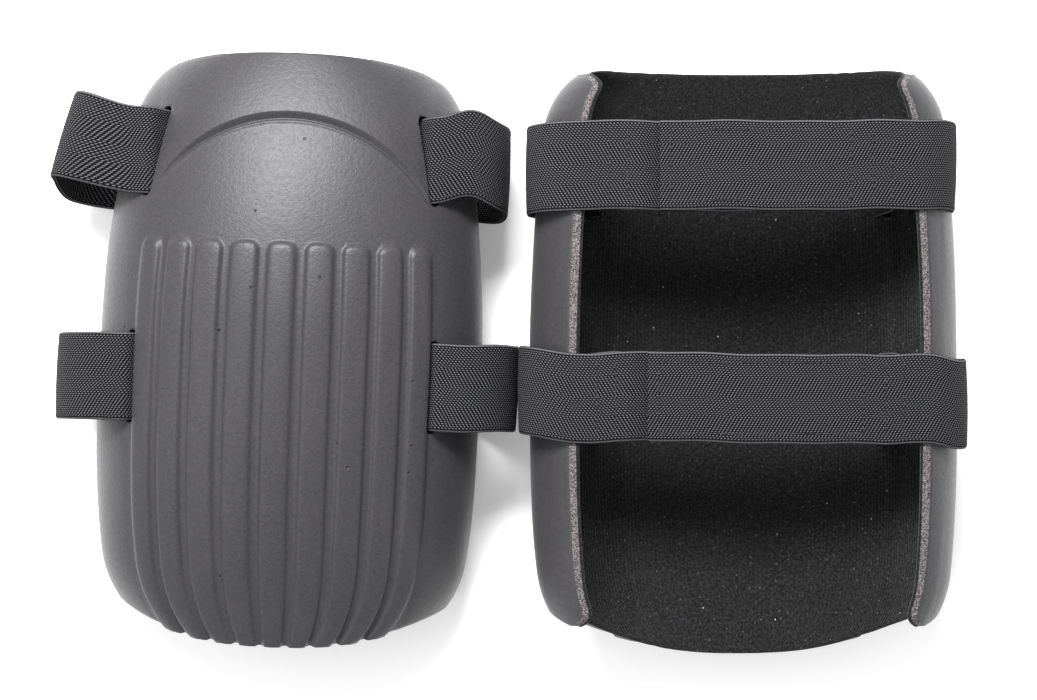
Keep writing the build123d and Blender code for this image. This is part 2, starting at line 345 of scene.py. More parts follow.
def slotCutter(side):
    # four rounded bars, one through each slot
    points, faces = [], []
    turns = np.linspace(0, 2 * np.pi, 33)[:-1]
    radius = strap["slotThickness"] / 2
    reach = (strap["width"] + strap["slotSpare"]) / 2 - radius
    for level in ("upper", "lower"):
        for hand in (-1, 1):
            middle, out = slotPlace(side, level, hand)
            lengthwise = np.array([-hand * shellGrid["slotLean"] if level == "upper" else 0, 1.0, 0])
            lengthwise /= np.linalg.norm(lengthwise)
            sideways = np.cross(out, lengthwise)
            ring = (np.outer(np.cos(turns) * radius + np.sign(np.cos(turns)) * reach, lengthwise)
                    + np.outer(np.sin(turns) * radius, sideways))
            first = len(points) * 64
            points.append(np.concatenate([ring - out * shellGrid["barIn"], ring + out * shellGrid["barOut"]]) + middle)
            n = len(turns)
            faces += [(first + i, first + (i + 1) % n, first + n + (i + 1) % n, first + n + i) for i in range(n)]
            faces.append(tuple(range(first + n - 1, first - 1, -1)))
            faces.append(tuple(range(first + n, first + 2 * n)))
    cutter = buildMesh(side + "SlotBars", toFrame(side, np.concatenate(points)), faces, smooth=False)
    faceOutwards(cutter)
    return cutter


def cutSlots(piece, side):
    cutter = slotCutter(side)
    modifier = piece.modifiers.new("slots", "BOOLEAN")
    modifier.operation = "DIFFERENCE"
    modifier.solver = "EXACT"
    modifier.object = cutter
    finished(piece)
    bpy.data.objects.remove(cutter)


def makeShell(side):
    # outer and inner skins on the same grid, closed by strips along the rims and the ends
    share = columnShares()
    count = shellGrid["rows"]
    outer, degrees = sectionGrid(side, share, count, 0, 0, 0)
    height = reliefHeight(side, outer, degrees)
    height = height * smoothStep(0, 2.5, 116 - np.abs(degrees))
    outer = outer + normalsOf(outer) * height[..., None]
    inner, _ = sectionGrid(side, share, count, pad["sideWall"], pad["frontWall"], pad["innerDrop"])
    rows, columns = outer.shape[:2]
    total = rows * columns
    index = np.arange(total).reshape(rows, columns)
    border = np.concatenate([index[0, :-1], index[:-1, -1], index[-1, :0:-1], index[:0:-1, 0]])
    nextOne = np.roll(border, -1)
    walls = np.stack([border, nextOne, nextOne + total, border + total], axis=-1)
    faces = np.concatenate([gridFaces(rows, columns), gridFaces(rows, columns, total)[:, ::-1], walls[:, ::-1]])
    points = toFrame(side, np.concatenate([outer.reshape(-1, 3), inner.reshape(-1, 3)]))
    piece = buildMesh(side + "Foam", points, faces)
    skinCount = (rows - 1) * (columns - 1)
    slots = np.zeros(len(faces), dtype=np.int32)
    slots[skinCount * 2:] = 1
    piece.data.materials.append(foamMaterial)
    piece.data.materials.append(cutFoamMaterial)
    piece.data.polygons.foreach_set("material_index", slots)
    faceOutwards(piece)
    bevel = piece.modifiers.new("rounded edges", "BEVEL")
    bevel.width = shellGrid["edgeRound"] * mm
    bevel.segments = 2
    bevel.limit_method = "ANGLE"
    bevel.angle_limit = math.radians(62)
    finished(piece)
    cutSlots(piece, side)
    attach(piece, side + "_pad")
    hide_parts(side + "_foam_shell")
    print("foam", side, len(piece.data.polygons))
    return piece


# the lining
liningCut = {
    "columns": 150, "rows": 150, "lift": 0.15, "thickness": 0.8, "creaseDepth": 0.5, "creaseWidth": 1.6,
    # each crease's angle from the crown, in degrees, and its share of the depth
    "creases": ((-52, 1.0), (-44, 0.7), (-14, 0.35), (38, 0.8), (61, 0.5)),
}


def makeLining(side):
    # the shell's inner skin, moved a little into the hollow, with a few shallow lengthwise creases
    share = np.linspace(-1, 1, liningCut["columns"])
    grid, degrees = sectionGrid(side, share, liningCut["rows"], pad["sideWall"] + liningCut["lift"],
                                pad["frontWall"] + liningCut["lift"], pad["innerDrop"])
    y = grid[..., 1]
    crease = np.zeros_like(y)
    for where, depth in liningCut["creases"]:
        drift = where + 2.5 * np.sin(y / 47 + where)
        crease += depth * np.exp(-((degrees - drift) / liningCut["creaseWidth"]) ** 2)
    ripple = 0.25 * np.sin(degrees / 6.3 + y / 60) * np.sin(y / 29)
    inwards = -normalsOf(grid)
    grid = grid + inwards * (liningCut["creaseDepth"] * crease + np.maximum(ripple, 0))[..., None]
    points = toFrame(side, grid)
    uv = np.stack([degrees * math.radians(1) * 70 * mm, y * mm], axis=-1).reshape(-1, 2)
    piece = buildMesh(side + "Lining", points, gridFaces(*grid.shape[:2]), uv)
    solid = piece.modifiers.new("cloth", "SOLIDIFY")
    solid.thickness = liningCut["thickness"] * mm
    solid.offset = 1.0
    finished(piece)
    faceOutwards(piece)
    piece.data.materials.append(liningMaterial)
    cutSlots(piece, side)
    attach(piece, side + "_pad")
    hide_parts(side + "_lining")
    return piece


# the elastic straps
elastic = {"step": 1.1, "across": 13, "edgeRound": 0.35, "selvedge": 0.12, "cup": 0.5}
# how each end of a strap stands at its bulge, millimetres: shifted along the pad, further out, further out
# again at its lower edge than at its upper edge, the sag of its return below, and the lift of its crest
stance = {
    ("left", "upper", -1): (6.0, 11.0, 9.0, 8.0, 0.0), ("left", "upper", 1): (-2.0, 1.5, 0.0, 2.5, 5.0),
    ("left", "lower", -1): (-1.5, 1.5, 0.0, 0.0, 0.0), ("left", "lower", 1): (0.8, 1.5, 0.0, 1.0, 0.0),
    ("right", "upper", -1): (0.6, -2.6, -0.8, 0.0, 0.0), ("right", "upper", 1): (-0.4, 0.6, 0.0, 0.0, 0.0),
    ("right", "lower", -1): (-2.6, -2.2, 0.4, 0.0, 0.0), ("right", "lower", 1): (2.6, 0.0, 0.0, 0.0, 0.0),
}


def roundedPath(points, radii, step):
    # straight runs joined by arcs that touch both, sampled evenly; returns places and the way along
    pts = [np.array(p, dtype=float) for p in points]
    trail = [pts[0]]
    for before, corner, after, radius in zip(pts[:-2], pts[1:-1], pts[2:], radii):
        into = (corner - before) / np.linalg.norm(corner - before)
        away = (after - corner) / np.linalg.norm(after - corner)
        turn = math.acos(np.clip(into @ away, -1, 1))
        tangent = radius * math.tan(turn / 2)
        sideways = away - into * (into @ away)
        sideways /= np.linalg.norm(sideways)
        centre = corner - into * tangent + sideways * radius
        for t in np.linspace(0, turn, max(3, int(turn * radius / step) + 2)):
            trail.append(centre + radius * (into * math.sin(t) - sideways * math.cos(t)))
    trail.append(pts[-1])
    trail = np.array(trail)
    run = np.concatenate([[0], np.cumsum(np.linalg.norm(np.diff(trail, axis=0), axis=1))])
    s = np.linspace(0, run[-1], int(run[-1] / step) + 1)
    return np.stack([np.interp(s, run, trail[:, i]) for i in (0, 1)], axis=1), s


def aroundWeb(side, y):
    # (x, z) from the sewn overlap inside, up to the slot, out through it and down past the rim
    rim = rimInner(side, y)
    rimOuter = rimHalfGap(side, y, 0, 0, 0)
    level = "upper" if y > 0 else "lower"
    middle, out = slotPlace(side, level, 1)
    outer = middle + out * strap["slotBend"]
    inner = middle - out * (pad["frontWall"] + strap["slotBend"])
    reach = halfWidthAt(side, y) + strap["standOff"][side]
    sewnZ = strapZ + strap["thickness"] + strap["plyGap"]
    lowerBend = (reach - rimOuter) * 0.95
    upperBend = min(reach - outer[0], outer[2] - strapZ - lowerBend) * 0.8
    bend = strap["slotBend"]
    points = [(overlapX(side, y), sewnZ), (rim - strap["sewnInset"], sewnZ), (rim - strap["sewnInset"], bulgeAt(y)),
              (inner[0], inner[2]), (outer[0], outer[2]), (reach, outer[2] - bend), (reach, strapZ)]
    return points, [bend, bend * 4, bend, bend, upperBend, lowerBend]


def ribbonPiece(name, side, level, hand, points, radii):
    # a flat closed section carried along the path: the place on the path, plus the way across along y, plus the
    # half thickness along the path's normal; the section is a bar with rounded edges and a raised selvedge
    y = strap["levelY"][level]
    path, s = roundedPath(points, radii, elastic["step"])
    ahead = np.gradient(path, axis=0)
    ahead /= np.linalg.norm(ahead, axis=1, keepdims=True)
    normal = np.stack([-ahead[:, 1], ahead[:, 0]], axis=1)
    half = strap["width"] / 2
    w = half * np.sin(np.linspace(-np.pi / 2, np.pi / 2, elastic["across"]) * 0.94) / math.sin(np.pi / 2 * 0.94)
    h = np.full_like(w, strap["thickness"] / 2)
    h[[0, -1]] -= elastic["edgeRound"]
    h += elastic["selvedge"] * np.exp(-((np.abs(w) - half + 1.4) / 0.7) ** 2)
    ringW = np.concatenate([w, w[::-1]])
    ringH = np.concatenate([h, -h[::-1]])
    leanBy, reachBy, twist, sag, crest = stance[(side, level, hand)]
    reach = np.abs(points[5][0])
    outside = smoothStep(reach - 22, reach - 2, path[:, 0])
    rimOuter = rimHalfGap(side, y, 0, 0, 0)
    along = leanBy * outside * np.ones(len(s))
    along -= sag * smoothStep(rimOuter - 2, reach - 6, path[:, 0]) * smoothStep(32, 10, path[:, 1])
    along += crest * np.exp(-((path[:, 0] - reach + 13) / 9) ** 2) * smoothStep(22, 40, path[:, 1])
    flat = smoothStep(reach - 26, reach - 40, path[:, 0]) * (path[:, 1] < 8)
    along += flat * leanBy * 0.5 * np.clip(path[:, 0] / reach, -1, 1) * (side == "right")
    wave = 0.25 * np.sin(s / 11.0 + leanBy) + 0.15 * np.sin(s / 4.7)
    cup = elastic["cup"] * outside[:, None] * (ringW[None, :] / half) ** 2
    height = ringH[None, :] - cup
    farther = reachBy - twist * ringW / strap["width"]
    x = path[:, 0][:, None] + normal[:, 0][:, None] * height + outside[:, None] * farther[None, :]
    z = path[:, 1][:, None] + normal[:, 1][:, None] * height
    yy = y + along[:, None] + wave[:, None] + ringW[None, :]
    rows, columns = x.shape
    points3 = np.stack([hand * x, yy, z], axis=-1).reshape(-1, 3)
    faces = [tuple(f) for f in gridFaces(rows, columns, wrap=True).tolist()]
    faces.append(tuple(range(columns)))
    faces.append(tuple(range((rows - 1) * columns, rows * columns)))
    uv = np.stack([np.repeat(s, columns), np.tile(ringW, rows)], axis=-1) * mm
    piece = buildMesh(name, toFrame(side, points3), faces, uv)
    faceOutwards(piece)
    piece.data.materials.append(elasticMaterial)
    return piece


def makeHookElastic(side, level):
    # the anchored loop and its flap are one length of elastic, made as one piece
    y = strap["levelY"][level]
    points, radii = aroundWeb(side, y)
    points.append((flapTipX(side, y), strapZ))
    piece = ribbonPiece(f"{side}{level.title()}HookElastic", side, level, strap["hookSide"], points, radii)
    pre = f"{side}_{level}_"
    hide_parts(pre + "anchor_elastic", pre + "flap_elastic")
    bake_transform(piece)
    return piece


def makeLoopElastic(side, level):
    y = strap["levelY"][level]
    points, radii = aroundWeb(side, y)
    ramp = rampX(side, y)
    points += [(ramp, strapZ), (ramp - strap["rampLength"], loopZ), (loopEndX(side, y), loopZ)]
    radii = radii + [strap["rampLength"] * 0.8] * 2
    piece = ribbonPiece(f"{side}{level.title()}LoopElastic", side, level, -strap["hookSide"], points, radii)
    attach(piece, side + "_pad")
    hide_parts(f"{side}_{level}_loop_elastic")
    return piece


# stitches and tapes
stitch = {"pitch": 3.1, "length": 2.5, "radius": 0.24, "sides": 6, "rise": 0.1, "inset": 1.7}
hookTape = {"base": 0.8, "pitchX": 1.7, "pitchY": 1.9, "radius": 0.11, "height": 0.95}
loopTape = {"base": 0.8, "pitch": 0.75, "pile": 0.55, "loops": 420, "radius": 0.07}


def tubeShape(trail, radius, sides):
    # a thin tube along a short trail: rings of radius (cos t, sin t) square to it, closed to a point at both ends
    trail = np.asarray(trail, dtype=float)
    ahead = np.gradient(trail, axis=0)
    ahead /= np.linalg.norm(ahead, axis=1, keepdims=True)
    first = np.cross(ahead, (0.0, 1.0, 0.0))
    first /= np.linalg.norm(first, axis=1, keepdims=True)
    second = np.cross(ahead, first)
    turn = np.linspace(0, 2 * np.pi, sides + 1)[:-1]
    rings = (trail[:, None] + radius * (np.cos(turn)[None, :, None] * first[:, None]
                                        + np.sin(turn)[None, :, None] * second[:, None]))
    tips = np.stack([trail[0] - ahead[0] * radius, trail[-1] + ahead[-1] * radius])
    points = np.concatenate([rings.reshape(-1, 3), tips])
    faces = [tuple(f) for f in gridFaces(len(trail), sides, wrap=True).tolist()]
    n = len(trail) * sides
    for i in range(sides):
        faces.append((n, (i + 1) % sides, i))
        faces.append((n + 1, n - sides + i, n - sides + (i + 1) % sides))
    return points, faces


def repeated(name, side, shape, origins, turns, lift):
    # copies of one small shape, each turned about z and moved to its origin; lift is +1 or -1 for its upward way
    points, faces = shape
    origins = np.asarray(origins, dtype=float)
    turns = np.asarray(turns, dtype=float)
    c, s = np.cos(turns)[:, None], np.sin(turns)[:, None]
    x = points[None, :, 0] * c - points[None, :, 1] * s * lift
    y = points[None, :, 0] * s + points[None, :, 1] * c * lift
    z = np.broadcast_to(points[None, :, 2] * lift, x.shape)
    copies = (np.stack([x, y, z], axis=-1) + origins[:, None]).reshape(-1, 3)
    count = len(points)
    everyFace = [tuple(v + i * count for v in f) for i in range(len(origins)) for f in faces]
    return buildMesh(name, toFrame(side, copies), everyFace)


def stitchPlaces(corners):
    # stitches end to end along each straight row between two corners
    origins, turns = [], []
    for (x0, y0, z0), (x1, y1, z1) in corners:
        run = math.hypot(x1 - x0, y1 - y0)
        count = max(2, int(round(run / stitch["pitch"])))
        t = (np.arange(count) + 0.5) / count
        origins.append(np.stack([x0 + (x1 - x0) * t, y0 + (y1 - y0) * t, z0 + (z1 - z0) * t], axis=1))
        turns.append(np.full(count, math.atan2(y1 - y0, x1 - x0)) + 0.05 * np.sin(np.arange(count) * 2.4))
    return np.concatenate(origins), np.concatenate(turns)


def stitchShape():
    # a stitch bows up from the cloth and dives back in at both ends
    t = np.linspace(-1, 1, 6)
    return tubeShape(np.stack([t * stitch["length"] / 2, 0 * t, stitch["rise"] - 0.34 * t ** 4], axis=1),
                     stitch["radius"], stitch["sides"])


def frameRows(low, high, y, z):
    # a rectangle of rows just inside a tape's edges
    w = strap["tapeWidth"] / 2 - stitch["inset"]
    low, high = min(low, high) + stitch["inset"], max(low, high) - stitch["inset"]
    return [((low, y - w, z), (high, y - w, z)), ((high, y - w, z), (high, y + w, z)),
            ((high, y + w, z), (low, y + w, z)), ((low, y + w, z), (low, y - w, z))]


def makeStitches(name, side, sets, body, node):
    # sets of rows, each with the way its stitches stand up from the cloth
    pieces = []
    for number, (rows, lift) in enumerate(sets):
        origins, turns = stitchPlaces(rows)
        pieces.append(repeated(name + "AB"[number], side, stitchShape(), origins, turns, lift))
    for piece in pieces:
        faceOutwards(piece)
        piece.data.materials.append(threadMaterial)
        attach(piece, body)
    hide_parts(node)


def tapeEnds(side, level):
    y = strap["levelY"][level]
    margin, hand = strap["tapeMargin"], strap["hookSide"]
    hook = (hand * (hingeX(side, y) - margin), hand * (flapTipX(side, y) + margin))
    ramp = rampX(side, y) - strap["rampLength"]
    loop = (-hand * (ramp - margin), -hand * (loopEndX(side, y) + margin))
    return hook, loop


def slab(name, side, ends, y, bottom, top, topHeight, pitch):
    # a tape's woven ground: a closed flat grid whose top is its thickness plus topHeight(x, w), less at the edges
    low, high = min(ends), max(ends)
    columns = int((high - low) / pitch) + 1
    rows = int(strap["tapeWidth"] / pitch) + 1
    x, w = np.meshgrid(np.linspace(low, high, columns),
                       np.linspace(-0.5, 0.5, rows) * strap["tapeWidth"])
    edge = smoothStep(0, 1.2, np.minimum(np.minimum(x - low, high - x), strap["tapeWidth"] / 2 - np.abs(w)))
    rise = (top - bottom) * (0.6 + 0.4 * edge) + topHeight(x, w) * edge
    upper = np.stack([x, y + w, bottom + rise], axis=-1).reshape(-1, 3)
    lower = np.stack([x, y + w, np.full_like(x, bottom)], axis=-1).reshape(-1, 3)
    index = np.arange(rows * columns).reshape(rows, columns)
    border = np.concatenate([index[0, :-1], index[:-1, -1], index[-1, :0:-1], index[:0:-1, 0]])
    walls = np.stack([np.roll(border, -1), border, border + rows * columns,
                      np.roll(border, -1) + rows * columns], axis=-1)
    faces = np.concatenate([gridFaces(rows, columns), gridFaces(rows, columns, rows * columns)[:, ::-1], walls])
    piece = buildMesh(name, toFrame(side, np.concatenate([upper, lower])), faces)
    faceOutwards(piece)
    return piece


def plainHeight(x, w):
    # a woven ground's small waves: the product of a sine along and a sine across
    return 0.06 * np.sin(x * 3.7) * np.sin(w * 3.3)


def pileHeight(x, w):
    # matted pile: the product of two sines, each bent by the other's direction
    tangle = np.sin(x * 2.9 + 2 * np.sin(w * 1.7)) * np.sin(w * 2.3 + np.sin(x * 1.3))
    return loopTape["pile"] * (0.5 + 0.5 * tangle) * 0.8


def makeHookTape(side, level):
    # a woven ground with rows of little nylon hooks, every other row bent the other way
    y = strap["levelY"][level]
    ends, _ = tapeEnds(side, level)
    base = strapZ + strap["thickness"] / 2
    title = f"{side}{level.title()}"
    ground = slab(title + "HookTape", side, ends, y, base, base + hookTape["base"], plainHeight, 1.0)
    bendTurn = np.linspace(0, np.pi * 1.15, 5)
    r = 0.3
    crook = np.stack([r - r * np.cos(bendTurn), 0 * bendTurn, hookTape["height"] - r + r * np.sin(bendTurn)], axis=1)
    shape = tubeShape(np.concatenate([[(0, 0, -0.1)], crook]), hookTape["radius"], 4)
    low, high = min(ends) + 3.2, max(ends) - 3.2
    w = strap["tapeWidth"] / 2 - 3.4
    gx, gy = np.meshgrid(np.arange(low, high, hookTape["pitchX"]), np.arange(-w, w + 0.01, hookTape["pitchY"]))
    odd = np.indices(gx.shape)[0] % 2
    origins = np.stack([gx + odd * hookTape["pitchX"] / 2, y + gy, np.full_like(gx, base + hookTape["base"])], axis=-1)
    hooks = repeated(title + "Hooks", side, shape, origins.reshape(-1, 3), (odd * np.pi).ravel(), 1)
    faceOutwards(hooks)
    for piece in (ground, hooks):
        piece.data.materials.append(hookMaterial)
        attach(piece, f"{side}_{level}_flap")
    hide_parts(f"{side}_{level}_hook_tape")


def makeLoopTape(side, level):
    # a woven ground under a tangled pile: an uneven felt with loose thread loops standing out of it
    y = strap["levelY"][level]
    _, ends = tapeEnds(side, level)
    top = loopZ - strap["thickness"] / 2
    title = f"{side}{level.title()}"
    dice = np.random.default_rng(11 if side == "left" else 12)
    ground = slab(title + "LoopTape", side, ends, y, -top, -top + loopTape["base"], pileHeight, loopTape["pitch"])
    ground.data.vertices.foreach_set("co", mirrored(ground, side).ravel())
    ground.data.update()
    faceOutwards(ground)
    t = np.linspace(0, np.pi, 6)
    shape = tubeShape(np.stack([0.55 * np.cos(t), 0 * t, 0.62 * np.sin(t)], axis=1), loopTape["radius"], 3)
    low, high = min(ends) + 2.5, max(ends) - 2.5
    w = strap["tapeWidth"] / 2 - 2.8
    count = loopTape["loops"]
    origins = np.stack([dice.uniform(low, high, count), y + dice.uniform(-w, w, count),
                        np.full(count, top - loopTape["base"] - 0.2)], axis=1)
    loops = repeated(title + "Loops", side, shape, origins, dice.uniform(0, np.pi, count), -1)
    faceOutwards(loops)
    for piece in (ground, loops):
        piece.data.materials.append(loopMaterial)
        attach(piece, side + "_pad")
    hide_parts(f"{side}_{level}_loop_tape")


def mirrored(piece, side):
    # the same points on the other side of the pad's rim plane
    co = np.empty(len(piece.data.vertices) * 3)
    piece.data.vertices.foreach_get("co", co)
    co = co.reshape(-1, 3)
    co[:, 2] = 2 * places[side]["rim"] - co[:, 2]
    return co


def makeStrapStitches(side, level):
    y = strap["levelY"][level]
    hook, loop = tapeEnds(side, level)
    pre, title = f"{side}_{level}_", f"{side}{level.title()}"
    outerFace = strapZ - strap["thickness"] / 2
    hookFace = strapZ + strap["thickness"] / 2 + hookTape["base"]
    innerFace = loopZ + strap["thickness"] / 2
    loopFace = loopZ - strap["thickness"] / 2 - loopTape["base"]
    makeStitches(title + "HookStitches", side,
                 [(frameRows(*hook, y, outerFace), -1), (frameRows(*hook, y, hookFace), 1)],
                 pre + "flap", pre + "hook_stitching")
    makeStitches(title + "LoopStitches", side,
                 [(frameRows(*loop, y, innerFace), 1), (frameRows(*loop, y, loopFace), -1)],
                 side + "_pad", pre + "loop_stitching")
    half = strap["tapeWidth"] / 2 - stitch["inset"]
    overlap = overlapX(side, y)
    for hand, name, node in ((strap["hookSide"], "AnchorStitches", "anchor_stitching"),
                             (-strap["hookSide"], "LoopAnchorStitches", "loop_anchor_stitching")):
        sets = []
        for z, lift in ((outerFace, -1), (strapZ + strap["thickness"] * 1.5 + strap["plyGap"], 1)):
            rows = [((hand * (overlap + shift), y - half, z), (hand * (overlap + shift), y + half, z))
                    for shift in (2.4, strap["sewnLength"] - 2.4)]
            sets.append((rows, lift))
        makeStitches(title + name, side, sets, side + "_pad", pre + node)


# materials: each is built up from plain nodes, with every pattern's size in millimetres

def linear(hexColour):
    # sRGB hex to linear, with alpha
    parts = [int(hexColour[i:i + 2], 16) / 255 for i in (1, 3, 5)]
    return tuple(c / 12.92 if c <= 0.04045 else ((c + 0.055) / 1.055) ** 2.4 for c in parts) + (1.0,)


def addNode(tree, kind, settings, output=0):
    # settings name the node's own values, or its inputs by name or number; a socket for an input is linked to it
    node = tree.nodes.new("ShaderNode" + kind)
    for key, value in settings.items():
        if isinstance(value, bpy.types.NodeSocket):
            tree.links.new(value, node.inputs[key])
        elif isinstance(key, int) or key in node.inputs:
            node.inputs[key].default_value = value
        else:
            setattr(node, key, value)
    return node.outputs[output]


def startMaterial(name, settings):
    material = bpy.data.materials.new(name)
    material.use_nodes = True
    tree = material.node_tree
    shader = tree.nodes["Principled BSDF"]
    for key, value in settings.items():
        shader.inputs[key].default_value = value
    return material, tree, shader


def millimetres(tree, output="Object"):
    # object or UV coordinates, in millimetres
    place = addNode(tree, "TexCoord", {}, output)
    return addNode(tree, "Mapping", {"Vector": place, "Scale": (1000, 1000, 1000)})


# the pit colour is painted shade: the near black inside the hollows of burst bubbles
foamLook = {
    "dark": "#262627", "light": "#2e2d2f", "speckle": "#38363a", "grain": "#222123", "streak": "#3e3c3f",
    "pit": "#0d0c0d", "speckleSize": 0.55, "grainSize": 1.6, "cloudSize": 38.0, "streakSize": 9.0, "pitSpacing": 13.0,
}


def makeFoamMaterial():
    # moulded EVA foam: a satin skin, fine speckle from the mould, faint cloudy patches, a few burst bubbles as small
    # dents with painted shade in them
    material, tree, shader = startMaterial("mouldedEvaFoam", {
        "Roughness": 0.42, "IOR": 1.5, "Specular IOR Level": 0.3, "Sheen Weight": 0.05, "Sheen Roughness": 0.5})
    place = millimetres(tree)
    speckle = addNode(tree, "TexNoise", {"Vector": place, "Scale": 1 / foamLook["speckleSize"], "Detail": 2.0,
                                         "Roughness": 0.6})
    grain = addNode(tree, "TexNoise", {"Vector": place, "Scale": 1 / foamLook["grainSize"], "Detail": 3.0,
                                       "Roughness": 0.6})
    cloud = addNode(tree, "TexNoise", {"Vector": place, "Scale": 1 / foamLook["cloudSize"], "Detail": 3.0,
                                       "Roughness": 0.5})
    lengthwise = addNode(tree, "Mapping", {"Vector": place, "Scale": (1, 0.18, 1)})
    streak = addNode(tree, "TexNoise", {"Vector": lengthwise, "Scale": 1 / foamLook["streakSize"], "Detail": 2.0,
                                        "Roughness": 0.5})
    bubble = addNode(tree, "TexVoronoi", {"Vector": place, "Scale": 1 / foamLook["pitSpacing"]}, "Distance")
    # burst bubbles: one mask both sinks the dents in the bump and paints their hollows near black as shade
    pit = addNode(tree, "MapRange", {0: bubble, 1: 0.035, 2: 0.055, 3: 1.0, 4: 0.0})
    base = addNode(tree, "Mix", {"data_type": "RGBA", 0: cloud, 6: linear(foamLook["dark"]),
                                 7: linear(foamLook["light"])}, 2)
    for share, colour in ((addNode(tree, "MapRange", {0: speckle, 1: 0.34, 2: 0.70}), "speckle"),
                          (addNode(tree, "MapRange", {0: grain, 1: 0.42, 2: 0.62, 4: 0.35}), "grain"),
                          (addNode(tree, "MapRange", {0: streak, 1: 0.55, 2: 0.75, 4: 0.22}), "streak"),
                          (pit, "pit")):
        base = addNode(tree, "Mix", {"data_type": "RGBA", 0: share, 6: base, 7: linear(foamLook[colour])}, 2)
    tree.links.new(base, shader.inputs["Base Color"])
    wear = addNode(tree, "Math", {"operation": "MULTIPLY_ADD", 0: grain, 1: 0.14, 2: 0.35})
    tree.links.new(wear, shader.inputs["Roughness"])
    height = addNode(tree, "Math", {"operation": "MULTIPLY_ADD", 0: pit, 1: -3.0, 2: speckle})
    fine = addNode(tree, "Bump", {"Height": height, "Distance": 0.10 * mm, "Strength": 0.7})
    coarse = addNode(tree, "Bump", {"Height": grain, "Distance": 0.22 * mm, "Strength": 0.5, "Normal": fine})
    tree.links.new(coarse, shader.inputs["Normal"])
    return material


def makeCutFoamMaterial():
    # the same foam where it was cut: open cells, so bright cell walls and painted shade darkening each cell's hollow,
    # no skin
    material, tree, shader = startMaterial("cutEvaFoam", {"Roughness": 0.85, "IOR": 1.45, "Specular IOR Level": 0.3})
    place = millimetres(tree)
    cell = addNode(tree, "TexVoronoi", {"Vector": place, "Scale": 1 / 0.6}, "Distance")
    blotch = addNode(tree, "TexNoise", {"Vector": place, "Scale": 1 / 0.9, "Detail": 3.0, "Roughness": 0.6})
    half = addNode(tree, "Math", {"operation": "MULTIPLY", 0: blotch, 1: 0.5})
    # each cell's middle is painted dark as shade in its hollow, mixed with the foam's own uneven blotches
    hollowShadeAndBlotch = addNode(tree, "Math", {"operation": "MULTIPLY_ADD", 0: cell, 1: 0.7, 2: half})
    share = addNode(tree, "MapRange", {0: hollowShadeAndBlotch, 1: 0.40, 2: 0.95})
    base = addNode(tree, "Mix", {"data_type": "RGBA", 0: share, 6: linear("#1f1b1c"), 7: linear("#817b7b")}, 2)
    tree.links.new(base, shader.inputs["Base Color"])
    rough = addNode(tree, "Bump", {"Height": cell, "Distance": 0.4 * mm, "Strength": 0.8})
    tree.links.new(rough, shader.inputs["Normal"])
    return material


def makeLiningMaterial():
    # brushed nylon knit: a soft nap over lengthwise wales, with lint caught in it
    material, tree, shader = startMaterial("brushedNylonKnit", {
        "Roughness": 0.95, "Specular IOR Level": 0.15, "Sheen Weight": 0.12, "Sheen Roughness": 0.45})
    place = millimetres(tree)
    nap = addNode(tree, "TexNoise", {"Vector": place, "Scale": 1 / 0.95, "Detail": 4.0, "Roughness": 0.75})
    lengthwise = addNode(tree, "Mapping", {"Vector": place, "Scale": (1, 0.5, 1)})
    patch = addNode(tree, "TexNoise", {"Vector": lengthwise, "Scale": 1 / 22.0, "Detail": 3.0, "Roughness": 0.55})
    wale = addNode(tree, "TexWave", {"Vector": millimetres(tree, "UV"), "wave_type": "BANDS", "bands_direction": "X",
                                     "Scale": 0.2, "Distortion": 1.2, "Detail": 2.0, "Detail Scale": 0.4}, "Fac")
    lint = addNode(tree, "TexVoronoi", {"Vector": place, "Scale": 1 / 8.5}, "Distance")
    dust = addNode(tree, "TexVoronoi", {"Vector": place, "Scale": 1 / 3.1}, "Distance")
    layers = ((addNode(tree, "MapRange", {0: nap, 1: 0.42, 2: 0.66}), "#323234"),
              (addNode(tree, "Math", {"operation": "MULTIPLY", 0: wale, 1: 0.25}), "#060606"),
              (addNode(tree, "Math", {"operation": "MULTIPLY", 0: patch, 1: 0.5}), "#0f0f10"),
              (addNode(tree, "MapRange", {0: lint, 1: 0.02, 2: 0.045, 3: 1.0, 4: 0.0}), "#a5a2a0"),
              (addNode(tree, "MapRange", {0: dust, 1: 0.05, 2: 0.12, 3: 0.3, 4: 0.0}), "#8d8b8a"))
    base = linear("#050505")
    for share, colour in layers:
        base = addNode(tree, "Mix", {"data_type": "RGBA", 0: share, 6: base, 7: linear(colour)}, 2)
    tree.links.new(base, shader.inputs["Base Color"])
    ridges = addNode(tree, "Bump", {"Height": wale, "Distance": 0.25 * mm, "Strength": 0.5})
    brushed = addNode(tree, "Bump", {"Height": nap, "Distance": 0.7 * mm, "Strength": 0.9, "Normal": ridges})
    tree.links.new(brushed, shader.inputs["Normal"])
    return material


weave = {
    "rowPitch": 0.86, "dashPitch": 1.36, "chevronRows": 9.0, "stepPerRow": 0.36, "dashSlant": 0.45,
    "dashLength": 0.34, "dashWidth": 0.44, "ground": "#060607", "shade": "#38383b", "light": "#6c6c70",
    "selvedge": "#0c0c0d", "edgeCord": "#5c5c5f",
}


